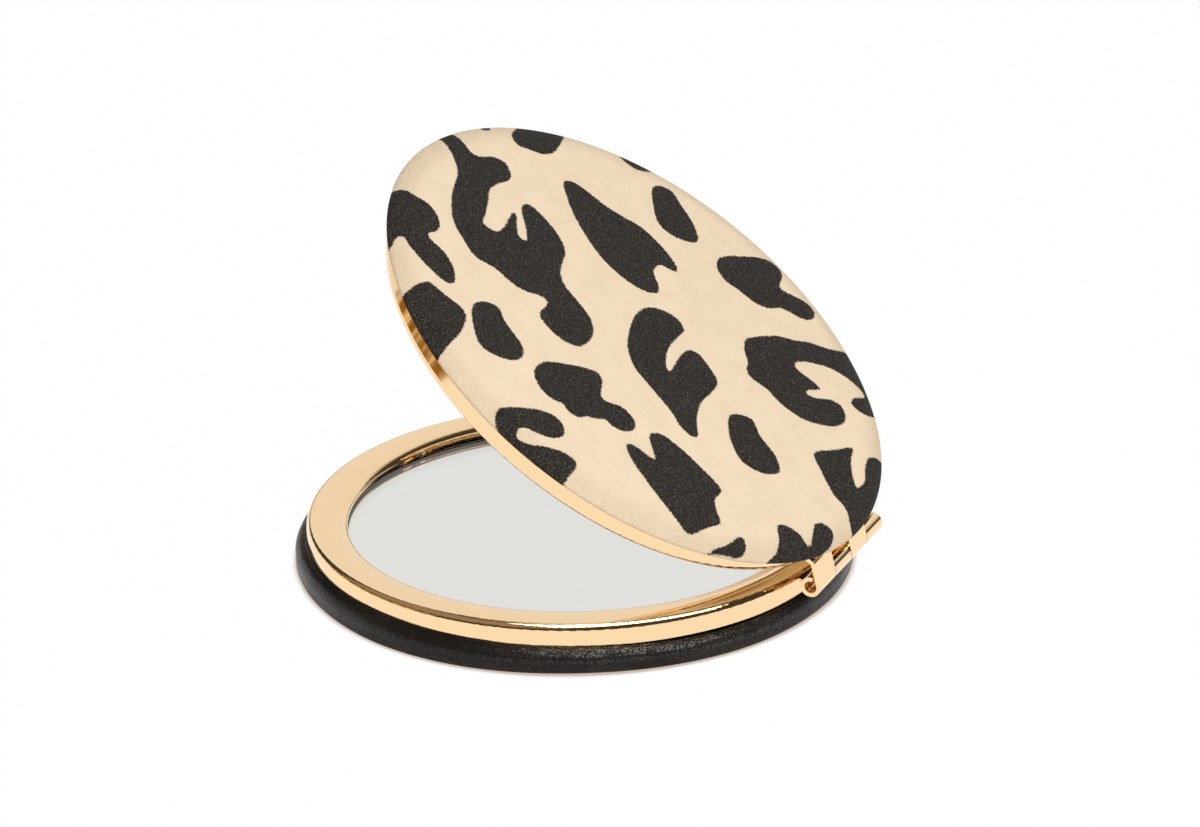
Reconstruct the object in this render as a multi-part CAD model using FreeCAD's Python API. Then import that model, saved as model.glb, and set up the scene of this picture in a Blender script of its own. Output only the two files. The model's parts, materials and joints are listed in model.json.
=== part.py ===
import FreeCAD, Part

import math
import os
from collections import namedtuple

# A round compact mirror: two gold frames, each with a mirror, on two padded and covered boards.
# One pin through four curled knuckles joins the halves. Lengths are in millimetres, angles in degrees.
# The origin is the centre of the base's underside, +Z is up, and the hinge runs along X on the +Y side.
# Each half is made with its seat, where frame and pad meet, at z = 0: the pad below it, the frame above.

# Frames: stamped rings with a wall, a rounded shoulder and a bezel that is almost flat outside, then rolls over
# in a long curve to a short lip on the glass. The lid's frame is a little taller and crisper.
frame_outer_radius = 33.5
bezel_width = 5.1
frame_sheet = 0.45
bezel_crown = 0.02
lip_round_width = 2.4
lip_round_height = 1.0
base_frame_height = 2.75
base_shoulder_width = 0.6
base_shoulder_height = 1.2
lid_frame_height = 2.9
lid_shoulder_width = 0.4
lid_shoulder_height = 0.8

# Mirrors: glass discs behind the lips, silvered on their backs, each on a disc of foam tape
glass_overlap = 0.65
glass_thickness = 1.3
silvering_thickness = 0.1
base_tape_thickness = 0.7
lid_tape_thickness = 0.55
rim_gap = 0.2

# Hinge: straps that leave each frame at its seat, bend over and curl round the pin. The pin's axis is a
# little above the base's bezel, and the row of knuckles sits a little towards the front, which is +X.
hinge_offset = 1.85
axis_rise = 0.1
closed_gap = 0.05
pin_diameter = 1.4
pin_clearance = 0.05
pin_recess = 1.2
leaf_sheet = 0.5
knuckle_width = 5.0
knuckle_gap = 0.1
knuckles_per_leaf = 2
hinge_shift = 0.55
strap_bend_radius = 0.35
strap_standoff = 0.1
curl_mouth = 0.15
open_angle = 36.4

# Pads: a board and a foam sheet inside a cover whose edge is turned in between board and frame.
# The turned-in edge reaches in past the mirror's rim, and the cover is widest a little below that edge.
pad_overhang = 1.5
turn_in_width = 3.1
board_thickness = 0.6
base_foam_thickness = 1.3
base_skin = 0.6
base_edge_width = 1.3
base_edge_drop = 1.0
lid_foam_thickness = 0.35
lid_skin = 0.35
lid_edge_width = 4.0
lid_edge_drop = 0.1
lid_crown = 0.3

# Adhesive ring and closing magnet inside each frame: the magnet fills the bezel's hollow but for its play
bond_thickness = 0.4
magnet_length = 6.0
magnet_height = 1.3
magnet_play = 0.45

# Play between pieces that fit together, and how far a cut runs past what it cuts
fit_clearance = 0.05
cut_overrun = 1.0

# Sizes that follow from the ones above
frame_opening_radius = frame_outer_radius - bezel_width
bezel_flat_radius = frame_opening_radius + lip_round_width
wall_inner_radius = frame_outer_radius - frame_sheet
glass_radius = frame_opening_radius + frame_sheet + glass_overlap
fixing_radius = glass_radius + rim_gap
turn_in_radius = fixing_radius - turn_in_width
magnet_width = wall_inner_radius - bezel_flat_radius - magnet_play
base_pad_thickness = base_foam_thickness + board_thickness + 2 * base_skin
lid_pad_thickness = lid_foam_thickness + board_thickness + 2 * lid_skin
hinge_y = frame_outer_radius + hinge_offset
base_axis_height = base_frame_height + axis_rise
lid_axis_height = lid_frame_height + closed_gap - axis_rise
knuckle_pitch = knuckle_width + knuckle_gap
hinge_length = 2 * knuckles_per_leaf * knuckle_pitch - knuckle_gap
hinge_z = base_pad_thickness + base_axis_height
lid_seat_z = hinge_z + lid_axis_height

ORIGIN = FreeCAD.Vector(0, 0, 0)
X_AXIS = FreeCAD.Vector(1, 0, 0)
Y_AXIS = FreeCAD.Vector(0, 1, 0)
Z_AXIS = FreeCAD.Vector(0, 0, 1)

Frame = namedtuple("Frame", "height shoulder_width shoulder_height mirror_back axis_height hinge_middle")
base_ring = Frame(base_frame_height, base_shoulder_width, base_shoulder_height,
                  base_tape_thickness - base_skin, base_axis_height, hinge_shift)
lid_ring = Frame(lid_frame_height, lid_shoulder_width, lid_shoulder_height,
                 lid_tape_thickness - lid_skin, lid_axis_height, -hinge_shift)

Pad = namedtuple("Pad", "thickness skin edge_width edge_height crown")
base_pad = Pad(base_pad_thickness, base_skin, base_edge_width, base_skin + base_edge_drop, 0)
lid_pad = Pad(lid_pad_thickness, lid_skin, lid_edge_width, lid_skin + lid_edge_drop, lid_crown)


def at(radius, height):
    """A point of a turned outline."""
    return FreeCAD.Vector(radius, 0, height)


def straight(start, end):
    return Part.LineSegment(start, end).toShape()


def quarter_round(start, corner, end):
    """A quarter of an ellipse that touches both sides of a square corner."""
    curve = Part.BezierCurve()
    curve.setPoles([start, corner, end])
    curve.setWeight(2, math.sqrt(0.5))
    return curve.toShape()


def crowned(centre, rim):
    """A face's outline from the axis to its rim: flat, or swelling gently to the middle."""
    if centre.z == rim.z:
        return straight(centre, rim)
    curve = Part.BezierCurve()
    curve.setPoles([centre, at(rim.x / 2, centre.z), rim])
    return curve.toShape()


def bulged(start, end, rise):
    """A shallow arc between two points of the same height."""
    curve = Part.BezierCurve()
    curve.setPoles([start, at((start.x + end.x) / 2, start.z + 2 * rise), end])
    return curve.toShape()


def closed_face(edges):
    return Part.Face(Part.Wire(Part.__sortEdges__(edges)))


def turned(edges):
    """A solid of revolution about Z."""
    return closed_face(edges).revolve(ORIGIN, Z_AXIS, 360).Solids[0]


def disc(radius, bottom, top):
    return Part.makeCylinder(radius, top - bottom, at(0, bottom))


def ring(outer, inner, bottom, top):
    hole = disc(inner, bottom - cut_overrun, top + cut_overrun)
    return disc(outer, bottom, top).cut(hole)


def hinge_side_block(start, width, bottom, top):
    """A block that covers the hinge side of a half from x = start on."""
    depth = hinge_y + cut_overrun
    return Part.makeBox(width, depth, top - bottom, FreeCAD.Vector(start, 0, bottom))


def knuckle_starts(frame):
    first = frame.hinge_middle - hinge_length / 2
    return [first + 2 * i * knuckle_pitch for i in range(knuckles_per_leaf)]


def glass_back(frame):
    return frame.mirror_back + silvering_thickness


def glass_front(frame):
    return glass_back(frame) + glass_thickness


def frame_ring(frame):
    """The stamped frame, notched at its seat where the straps come out."""
    bezel_edge = frame.height - bezel_crown
    bezel_under = bezel_edge - frame_sheet
    lip_outer = frame_opening_radius + frame_sheet
    lip_end = glass_front(frame)
    wall_foot = at(frame_outer_radius, 0)
    wall_top = at(frame_outer_radius, bezel_edge - frame.shoulder_height)
    bezel_outer = at(frame_outer_radius - frame.shoulder_width, bezel_edge)
    bezel_inner = at(bezel_flat_radius, bezel_edge)
    lip_top = at(frame_opening_radius, bezel_edge - lip_round_height)
    lip_foot = at(frame_opening_radius, lip_end)
    lip_back = at(lip_outer, lip_end)
    lip_root = at(lip_outer, bezel_edge - lip_round_height)
    flat_root = at(bezel_flat_radius, bezel_under)
    wall_root = at(wall_inner_radius, bezel_under)
    wall_back = at(wall_inner_radius, 0)
    body = turned([
        straight(wall_foot, wall_top),
        quarter_round(wall_top, at(frame_outer_radius, bezel_edge), bezel_outer),
        bulged(bezel_outer, bezel_inner, bezel_crown),
        quarter_round(bezel_inner, at(frame_opening_radius, bezel_edge), lip_top),
        straight(lip_top, lip_foot),
        straight(lip_foot, lip_back),
        straight(lip_back, lip_root),
        quarter_round(lip_root, at(lip_outer, bezel_under), flat_root),
        straight(flat_root, wall_root),
        straight(wall_root, wall_back),
        straight(wall_back, wall_foot),
    ])
    for start in knuckle_starts(frame):
        notch_width = knuckle_width + 2 * fit_clearance
        notch_top = leaf_sheet + fit_clearance
        body = body.cut(hinge_side_block(start - fit_clearance, notch_width, -cut_overrun, notch_top))
    return body


def mirror_glass(frame):
    return disc(glass_radius, glass_back(frame), glass_front(frame))


def mirror_silvering(frame):
    return disc(glass_radius, frame.mirror_back, glass_back(frame))


def mirror_tape(frame, pad):
    """The foam tape disc between the board and the mirror's back."""
    return disc(turn_in_radius - fit_clearance, -pad.skin, frame.mirror_back)


def bond_ring(frame):
    """The adhesive ring inside the wall, left open for the hinge leaf."""
    gap_start = frame.hinge_middle - hinge_length / 2 - rim_gap
    gap = hinge_side_block(gap_start, hinge_length + 2 * rim_gap, -cut_overrun, frame.height)
    return ring(wall_inner_radius - fit_clearance, fixing_radius, 0, bond_thickness).cut(gap)


def magnet(frame):
    """The bar magnet glued under the bezel, opposite the hinge."""
    chord = math.sqrt(wall_inner_radius ** 2 - (magnet_length / 2) ** 2)
    top = frame.height - bezel_crown - frame_sheet
    corner = FreeCAD.Vector(-magnet_length / 2, fit_clearance - chord, top - magnet_height)
    return Part.makeBox(magnet_length, magnet_width, magnet_height, corner)


def strap_face(frame):
    """The side view of a strap: flat in the frame, bent over, then curled round the pin.

    Places are (out, down) from the pin's axis: out is away from the frame, down is towards the seat.
    """
    half_sheet = leaf_sheet / 2
    curl = pin_diameter / 2 + pin_clearance + half_sheet
    bend = strap_bend_radius + half_sheet
    level = frame.axis_height - half_sheet
    bend_centre = (strap_standoff - hinge_offset, level - bend)
    slope = math.atan2(*bend_centre) + math.acos((curl - bend) / math.hypot(*bend_centre))
    curl_end = slope + 2 * math.pi - math.acos((curl - half_sheet - curl_mouth) / (curl + half_sheet))
    inner_end = fixing_radius - hinge_y

    def spot(out, down):
        return FreeCAD.Vector(0, hinge_y + out, frame.axis_height - down)

    def on_arc(centre, radius, angle):
        return spot(centre[0] + radius * math.sin(angle), centre[1] + radius * math.cos(angle))

    def arc(centre, radius, first, last):
        middle = on_arc(centre, radius, (first + last) / 2)
        return Part.Arc(on_arc(centre, radius, first), middle, on_arc(centre, radius, last)).toShape()

    edges = []
    for side in (half_sheet, -half_sheet):
        leaf_start = spot(inner_end, level + side)
        bend_start = spot(bend_centre[0], level + side)
        bend_end = on_arc(bend_centre, bend + side, slope)
        curl_start = on_arc((0, 0), curl + side, slope)
        edges += [straight(leaf_start, bend_start), straight(bend_end, curl_start)]
        edges += [arc(bend_centre, bend + side, 0, slope), arc((0, 0), curl + side, slope, curl_end)]
    edges.append(straight(spot(inner_end, level + half_sheet), spot(inner_end, level - half_sheet)))
    outer_end = on_arc((0, 0), curl + half_sheet, curl_end)
    edges.append(straight(outer_end, on_arc((0, 0), curl - half_sheet, curl_end)))
    return closed_face(edges)


def hinge_leaf(frame):
    """A plate inside the frame's wall with its two straps, cut from one sheet."""
    plate = ring(wall_inner_radius, fixing_radius, 0, leaf_sheet)
    leaf_start = frame.hinge_middle - hinge_length / 2
    leaf = plate.common(hinge_side_block(leaf_start, hinge_length, 0, leaf_sheet))
    for start in knuckle_starts(frame):
        strap = strap_face(frame).extrude(X_AXIS * knuckle_width)
        leaf = leaf.fuse(strap.translated(X_AXIS * start))
    return leaf.removeSplitter()


def hinge_pin():
    """The pin, a little shorter than the row of knuckles."""
    length = hinge_length - 2 * pin_recess
    start = FreeCAD.Vector(hinge_shift - length / 2, hinge_y, base_axis_height)
    return Part.makeCylinder(pin_diameter / 2, length, start, X_AXIS)


def pad_cover(pad):
    """The skin over foam and board: rounded at the rim, then turned in under the frame."""
    rim = frame_outer_radius + pad_overhang
    flat = rim - pad.edge_width
    seat_edge = frame_outer_radius + fit_clearance
    inner_rim = rim - pad.skin
    inner_face = pad.skin - pad.thickness
    centre = at(0, -pad.thickness - pad.crown)
    flat_end = at(flat, -pad.thickness)
    widest = at(rim, -pad.edge_height)
    seat = at(seat_edge, 0)
    lip = at(turn_in_radius, 0)
    lip_inside = at(turn_in_radius, -pad.skin)
    seat_inside = at(seat_edge, -pad.skin)
    widest_inside = at(inner_rim, -pad.edge_height)
    flat_inside = at(flat, inner_face)
    centre_inside = at(0, inner_face - pad.crown)
    return turned([
        crowned(centre, flat_end),
        quarter_round(flat_end, at(rim, -pad.thickness), widest),
        quarter_round(widest, at(rim, 0), seat),
        straight(seat, lip),
        straight(lip, lip_inside),
        straight(lip_inside, seat_inside),
        quarter_round(seat_inside, at(inner_rim, -pad.skin), widest_inside),
        quarter_round(widest_inside, at(inner_rim, inner_face), flat_inside),
        crowned(centre_inside, flat_inside),
        straight(centre_inside, centre),
    ])


def pad_board(pad):
    return disc(frame_outer_radius, -pad.skin - board_thickness, -pad.skin)


def pad_foam(pad):
    """The foam sheet, as crowned as the cover that it fills."""
    radius = frame_outer_radius + pad_overhang - pad.edge_width - fit_clearance
    face = pad.skin - pad.thickness
    if pad.crown:
        face += fit_clearance
    back = -pad.skin - board_thickness
    centre = at(0, face - pad.crown)
    rim = at(radius, face)
    return turned([
        crowned(centre, rim),
        straight(rim, at(radius, back)),
        straight(at(radius, back), at(0, back)),
        straight(at(0, back), centre),
    ])


def on_base(shape):
    return shape.translated(Z_AXIS * base_pad_thickness)


def on_lid(shape):
    """Turned over on to the base, then swung open about the hinge."""
    closed = shape.rotated(ORIGIN, Y_AXIS, 180).translated(Z_AXIS * lid_seat_z)
    return closed.rotated(FreeCAD.Vector(0, hinge_y, hinge_z), X_AXIS, -open_angle)


def half_pieces(frame, pad):
    """The pieces that both halves have, under their short names."""
    return {
        "padding": pad_foam(pad),
        "board": pad_board(pad),
        "bond_ring": bond_ring(frame),
        "frame": frame_ring(frame),
        "hinge_leaf": hinge_leaf(frame),
        "mirror_tape": mirror_tape(frame, pad),
        "mirror_silvering": mirror_silvering(frame),
        "mirror_glass": mirror_glass(frame),
        "magnet": magnet(frame),
    }


pieces = {"hinge_pin": on_base(hinge_pin())}
pieces["base_leather_cover"] = on_base(pad_cover(base_pad))
pieces["lid_fabric_cover"] = on_lid(pad_cover(lid_pad))
for short_name, shape in half_pieces(base_ring, base_pad).items():
    pieces["base_" + short_name] = on_base(shape)
for short_name, shape in half_pieces(lid_ring, lid_pad).items():
    pieces["lid_" + short_name] = on_lid(shape)

os.makedirs("parts", exist_ok=True)
for name, shape in sorted(pieces.items()):
    solids = shape.Solids
    print(f"{name}: {len(solids)} solid, {shape.Volume:.1f} mm3, valid {shape.isValid()}")
    solids[0].exportStep(f"parts/{name}.step")
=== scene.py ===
# %% [markdown]
# A compact mirror in Blender, dressed on its CAD frame
# The CAD model holds every rigid piece at its real size: two gold frames, two mirrors, a hinge and what
# is glued inside. This lesson gives those pieces their finish, and models the two soft covers again as
# meshes, because leather and suede need more shape than a solid of revolution has. Lengths are in metres.

# %% Load the fixed frame
import json
import math

import bmesh
import bpy
import numpy as np
from mathutils import Matrix, Vector, noise


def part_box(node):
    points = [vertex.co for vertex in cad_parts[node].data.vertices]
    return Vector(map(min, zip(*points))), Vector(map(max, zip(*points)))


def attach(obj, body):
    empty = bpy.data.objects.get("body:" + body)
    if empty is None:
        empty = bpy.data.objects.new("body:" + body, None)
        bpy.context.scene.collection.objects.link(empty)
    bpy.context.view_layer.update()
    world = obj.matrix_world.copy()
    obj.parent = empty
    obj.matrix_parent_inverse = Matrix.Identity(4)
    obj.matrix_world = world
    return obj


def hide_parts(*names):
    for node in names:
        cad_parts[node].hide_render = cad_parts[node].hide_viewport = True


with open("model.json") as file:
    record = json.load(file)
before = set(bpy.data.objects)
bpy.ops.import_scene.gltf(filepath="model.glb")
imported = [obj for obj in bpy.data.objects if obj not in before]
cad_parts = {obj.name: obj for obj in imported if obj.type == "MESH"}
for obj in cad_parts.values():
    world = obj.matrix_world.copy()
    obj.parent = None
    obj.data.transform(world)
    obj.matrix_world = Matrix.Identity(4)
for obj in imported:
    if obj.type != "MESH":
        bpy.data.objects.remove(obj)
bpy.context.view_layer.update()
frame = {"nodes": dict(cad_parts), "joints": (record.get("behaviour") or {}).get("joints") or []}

mm = 0.001
scene = bpy.context.scene
nodes = frame["nodes"]

# %% [markdown]
# The lid is drawn open, but it is far easier to model and to print on while it lies shut, flat and level.
# The record holds the hinge's place, its axis and its range, and the low end of the range is the shut
# lid. One matrix turns the lid shut, and its inverse opens what was made in the shut place.

# %% Read the hinge and the sizes that the covers follow
hinge = frame["joints"][0]
hinge_place = Vector(hinge["pos_m"])
shut_angle = math.radians(hinge["range_deg"][0])
shut_turn = Matrix.Rotation(shut_angle, 4, Vector(hinge["axis"]))
shut_lid = Matrix.Translation(hinge_place) @ shut_turn @ Matrix.Translation(-hinge_place)
open_lid = shut_lid.inverted()


def shut_box(node):
    """A lid node's lowest and highest corner once the lid is shut."""
    corners = np.array([shut_lid @ v.co for v in nodes[node].data.vertices])
    return Vector(corners.min(0)), Vector(corners.max(0))


wall_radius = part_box("base_frame")[1].x
rim_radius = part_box("base_leather_cover")[1].x
base_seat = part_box("base_frame")[0].z
lid_seat = shut_box("lid_frame")[1].z
lid_top = shut_box("lid_fabric_cover")[1].z
base_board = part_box("base_board")
lid_board = shut_box("lid_board")
tape_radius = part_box("base_mirror_tape")[1].x
print(f"rim {rim_radius / mm:.1f} mm, base seat {base_seat / mm:.2f} mm, shut lid {lid_top / mm:.2f} mm high")

# %% [markdown]
# The camera stands where the photographer stood. Its distance, direction and focal length were worked out
# from the rings in the picture, whose ellipses all come from circles of known size. A camera looks along
# its own -Z, so its matrix has the picture's right, the picture's up and the way back to the camera as
# its columns.

# %% Camera
camera_azimuth = math.radians(115.2345)
camera_elevation = math.radians(22.7835)
camera_roll = math.radians(-1.2187)
camera_distance = 505.883 * mm
aim_right = 3.043 * mm
aim_up = 16.926 * mm
picture_width = 1200
focal_pixels = 4075.8

flat_share = math.cos(camera_elevation)
to_camera = Vector((math.sin(camera_azimuth) * flat_share, -math.cos(camera_azimuth) * flat_share,
                    math.sin(camera_elevation)))
level_right = Vector((math.cos(camera_azimuth), math.sin(camera_azimuth), 0))
level_up = to_camera.cross(level_right)
picture_right = math.cos(camera_roll) * level_right + math.sin(camera_roll) * level_up
picture_up = math.cos(camera_roll) * level_up - math.sin(camera_roll) * level_right
camera_place = to_camera * camera_distance + level_right * aim_right + level_up * aim_up
camera_turn = Matrix((picture_right, picture_up, to_camera)).transposed()

camera_data = bpy.data.cameras.new("camera")
camera_data.lens = camera_data.sensor_width * focal_pixels / picture_width
camera_data.clip_start = 10 * mm
camera = bpy.data.objects.new("camera", camera_data)
camera.matrix_world = Matrix.Translation(camera_place) @ camera_turn.to_4x4()
scene.collection.objects.link(camera)
scene.camera = camera
scene.view_settings.view_transform = "Standard"
print(f"camera lens {camera_data.lens:.1f} mm at {camera_distance / mm:.0f} mm")

# %% [markdown]
# Every material below is a small graph of nodes. Writing tree.nodes.new and tree.links.new for each node
# would hide the idea behind the bookkeeping. So one helper feeds a node's inputs, each with either a
# plain value or the socket that it hangs on, and the others add a node of one kind and hand back what it
# puts out.

# %% Helpers that add nodes
def feed(tree, node, inputs):
    """Gives each named input of a node a plain value, or links it to the socket that feeds it."""
    for name, value in inputs.items():
        if isinstance(value, bpy.types.NodeSocket):
            tree.links.new(value, node.inputs[name])
        else:
            node.inputs[name].default_value = value


def place(tree, kind, inputs=None, **settings):
    """Adds a node, sets its properties and feeds its inputs."""
    node = tree.nodes.new(kind)
    for name, value in settings.items():
        setattr(node, name, value)
    feed(tree, node, inputs or {})
    return node


def math_node(tree, operation, first, second=0.0, third=0.0):
    values = {0: first, 1: second, 2: third}
    return place(tree, "ShaderNodeMath", values, operation=operation).outputs[0]


def ramp_between(tree, value, low, high, out_low=0.0, out_high=1.0):
    """Turns a value's way from low to high into a soft one from out_low to out_high, held outside."""
    ends = {"Value": value, "From Min": low, "From Max": high, "To Min": out_low, "To Max": out_high}
    return place(tree, "ShaderNodeMapRange", ends, interpolation_type="SMOOTHSTEP").outputs["Result"]


def noise_node(tree, where, scale, **inputs):
    settings = {name.title(): value for name, value in inputs.items()}
    return place(tree, "ShaderNodeTexNoise", {"Vector": where, "Scale": scale, **settings}).outputs[0]


def mixed(tree, share, first, second):
    node = place(tree, "ShaderNodeMix", {"Factor": share}, data_type="RGBA")
    for socket, value in (("A", first), ("B", second)):
        target = [s for s in node.inputs if s.name == socket and s.type == "RGBA"][0]
        if isinstance(value, bpy.types.NodeSocket):
            tree.links.new(value, target)
        else:
            target.default_value = (*value, 1)
    return [s for s in node.outputs if s.type == "RGBA"][0]


def fresh_material(name):
    """A material with an empty graph but for its output, and the Principled shader on it."""
    material = bpy.data.materials.new(name)
    material.use_nodes = True
    tree = material.node_tree
    tree.nodes.clear()
    output = tree.nodes.new("ShaderNodeOutputMaterial")
    shader = tree.nodes.new("ShaderNodeBsdfPrincipled")
    tree.links.new(shader.outputs["BSDF"], output.inputs["Surface"])
    return material, tree, shader


def on_object(tree):
    """The place of each shaded point in its object, which is the same for all pieces here."""
    return place(tree, "ShaderNodeTexCoord").outputs["Object"]


def stored_value(tree, label):
    """A number that the piece's mesh stores for each of its points."""
    return place(tree, "ShaderNodeAttribute", attribute_name=label).outputs["Fac"]


print("Blender", bpy.app.version_string, "adds the nodes")

# %% [markdown]
# Polished metal shows nothing but its surroundings, so the studio is part of the metal's look. A white
# table lies under the compact, a pale backdrop stands behind it, and a big softbox hangs above on the
# camera's side. The table is plain white to the camera and in the metal, so it glows there instead of
# being lit. That would lose the thin shadow where the compact touches it, so how open each place is,
# within about a millimetre, tints the glow.

# %% Studio: the table
table_radius = 0.42
table_segments = 96
table_sink = 0.02 * mm
table_white = (0.96, 0.96, 0.96)
table_glow = 0.985
contact_reach = 1.1 * mm
contact_ends = (0.4, 0.85)
contact_shade = (0.58, 0.48, 0.41)
plain_white = (1, 1, 1)

table_mesh = bmesh.new()
bmesh.ops.create_circle(table_mesh, cap_ends=True, segments=table_segments, radius=table_radius,
                        matrix=Matrix.Translation((0, 0, -table_sink)))
table_data = bpy.data.meshes.new("table")
table_mesh.to_mesh(table_data)
table_mesh.free()
table = bpy.data.objects.new("table", table_data)
scene.collection.objects.link(table)

table_material, tree, shader = fresh_material("white_table")
feed(tree, shader, {"Base Color": (*table_white, 1), "Roughness": 0.9})
rays = place(tree, "ShaderNodeLightPath").outputs
seen = math_node(tree, "MAXIMUM", rays["Is Camera Ray"], rays["Is Glossy Ray"])
seen = math_node(tree, "MAXIMUM", seen, rays["Is Transmission Ray"])
nearby = place(tree, "ShaderNodeAmbientOcclusion", {"Distance": contact_reach}, samples=12)
openness = ramp_between(tree, nearby.outputs["AO"], *contact_ends)
table_colour = mixed(tree, openness, contact_shade, plain_white)
glow = place(tree, "ShaderNodeEmission", {"Color": table_colour, "Strength": 1.0})
glow_share = math_node(tree, "MULTIPLY", seen, table_glow)
blend = place(tree, "ShaderNodeMixShader", {0: glow_share, 1: shader.outputs[0], 2: glow.outputs[0]})
tree.links.new(blend.outputs[0], tree.nodes["Material Output"].inputs["Surface"])
table_data.materials.append(table_material)
print("table", table_radius * 2, "m across")

# %% Studio: the softbox
softbox_turn = math.radians(25)
softbox_rise = math.radians(52)
softbox_distance = 0.9
softbox_width = 1.15
softbox_depth = 0.75
softbox_power = 10.0

camera_heading = math.atan2(to_camera.y, to_camera.x)
softbox_heading = camera_heading + softbox_turn
softbox_way = Vector((math.cos(softbox_heading) * math.cos(softbox_rise),
                      math.sin(softbox_heading) * math.cos(softbox_rise), math.sin(softbox_rise)))
softbox_facing = softbox_way.to_track_quat("Z", "Y").to_matrix().to_4x4()
softbox_data = bpy.data.lights.new("softbox", "AREA")
softbox_data.shape = "RECTANGLE"
softbox_data.size = softbox_width
softbox_data.size_y = softbox_depth
softbox_data.energy = softbox_power
softbox = bpy.data.objects.new("softbox", softbox_data)
softbox.matrix_world = Matrix.Translation(softbox_way * softbox_distance) @ softbox_facing
scene.collection.objects.link(softbox)
print("softbox", softbox_width, "by", softbox_depth, "m")

# %% [markdown]
# The room beyond is dark, with a wall on the left and shelves of warm clutter low on the left and behind,
# which give the gold its brown and orange streaks. They are far away, so they are painted on the world by
# direction: how high a ray goes, how far behind the compact and how far to the left. Only the camera's
# own rays see plain white there.

# %% Studio: the surroundings
room_colour = (0.06, 0.05, 0.04)
left_wall_colour = (0.30, 0.25, 0.19)
shelf_dark = (0.28, 0.125, 0.02)
shelf_pale = (0.86, 0.70, 0.42)
backdrop_colour = (0.88, 0.88, 0.88)
clutter_scale = 14.0
clutter_ends = (0.45, 0.66)

world = bpy.data.worlds.new("studio")
world.use_nodes = True
scene.world = world
room = world.node_tree
room.nodes.clear()
heading = place(room, "ShaderNodeTexCoord").outputs["Generated"]


def along(way):
    """How far a ray goes along a way: 1 straight along it, 0 across it and -1 against it."""
    product = place(room, "ShaderNodeVectorMath", {0: heading, 1: way}, operation="DOT_PRODUCT")
    return product.outputs["Value"]


def patch(*limits):
    """A soft-edged patch: where each (value, outer end, inner end) is past its limits."""
    share = 1.0
    for value, outer, inner in limits:
        share = math_node(room, "MULTIPLY", ramp_between(room, value, outer, inner), share)
    return share


rise = place(room, "ShaderNodeSeparateXYZ", {"Vector": heading}).outputs["Z"]
behind = along(Vector((-to_camera.x, -to_camera.y, 0)).normalized())
aside = along(-level_right)
left_wall = patch((aside, -0.05, 0.35), (rise, 0.12, 0.35), (rise, 0.97, 0.8), (behind, 0.5, 0.3))
backdrop = patch((behind, 0.45, 0.7), (rise, 0.82, 0.72), (aside, 0.36, 0.2), (aside, -0.82, -0.66))
low_sweep = patch((behind, 0.1, 0.3), (rise, 0.12, 0.07), (aside, 0.9, 0.84))
left_shelf = patch((aside, 0.84, 0.9), (rise, 0.2, 0.1))
back_shelf = patch((aside, 0.0, 0.07), (aside, 0.5, 0.4), (rise, 0.05, 0.12), (rise, 0.335, 0.29),
                   (behind, 0.7, 0.85))
clutter = noise_node(room, heading, clutter_scale, detail=3.0, roughness=0.7)
shelf_colour = mixed(room, ramp_between(room, clutter, *clutter_ends), shelf_dark, shelf_pale)

surroundings = mixed(room, left_wall, room_colour, left_wall_colour)
pale = math_node(room, "MAXIMUM", backdrop, low_sweep)
surroundings = mixed(room, pale, surroundings, backdrop_colour)
shelves = math_node(room, "MAXIMUM", left_shelf, back_shelf)
surroundings = mixed(room, shelves, surroundings, shelf_colour)
in_view = place(room, "ShaderNodeLightPath").outputs["Is Camera Ray"]
shown = mixed(room, in_view, surroundings, plain_white)
background = place(room, "ShaderNodeBackground", {"Color": shown})
place(room, "ShaderNodeOutputWorld", {"Surface": background.outputs[0]})
print("surroundings painted with", len(room.nodes), "nodes")

# %% [markdown]
# Two effects serve more than one material, so each is a node group. Handling marks are what fingers and
# polishing leave on a hard shiny surface: cloudy changes in gloss, and long shallow waves. Fine grain is
# the small relief of a soft skin.

# %% Shared effects
wave_share = 0.4


def new_group(name, inputs, outputs):
    """An empty shader node group. Inputs are (socket name, kind, value), outputs (socket name, kind)."""
    group = bpy.data.node_groups.new(name, "ShaderNodeTree")
    for socket, kind, value in inputs:
        made = group.interface.new_socket(socket, in_out="INPUT", socket_type=kind)
        if value is not None:
            made.default_value = value
    for socket, kind in outputs:
        group.interface.new_socket(socket, in_out="OUTPUT", socket_type=kind)
    start = group.nodes.new("NodeGroupInput")
    end = group.nodes.new("NodeGroupOutput")
    return group, start.outputs, end


def handling_marks_group():
    group, start, end = new_group("handling_marks", [
        ("Place", "NodeSocketVector", None), ("Cloud Scale", "NodeSocketFloat", 120.0),
        ("Clean", "NodeSocketFloat", 0.04), ("Smudged", "NodeSocketFloat", 0.12)],
        [("Roughness", "NodeSocketFloat"), ("Waves", "NodeSocketFloat")])
    cloud = noise_node(group, start["Place"], start["Cloud Scale"], detail=4.0, roughness=0.6)
    share = ramp_between(group, cloud, 0.45, 0.75)
    span = math_node(group, "SUBTRACT", start["Smudged"], start["Clean"])
    rough = math_node(group, "MULTIPLY_ADD", share, span, start["Clean"])
    wave_scale = math_node(group, "MULTIPLY", start["Cloud Scale"], wave_share)
    waves = noise_node(group, start["Place"], wave_scale, detail=0.0)
    feed(group, end, {"Roughness": rough, "Waves": waves})
    return group


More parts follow.
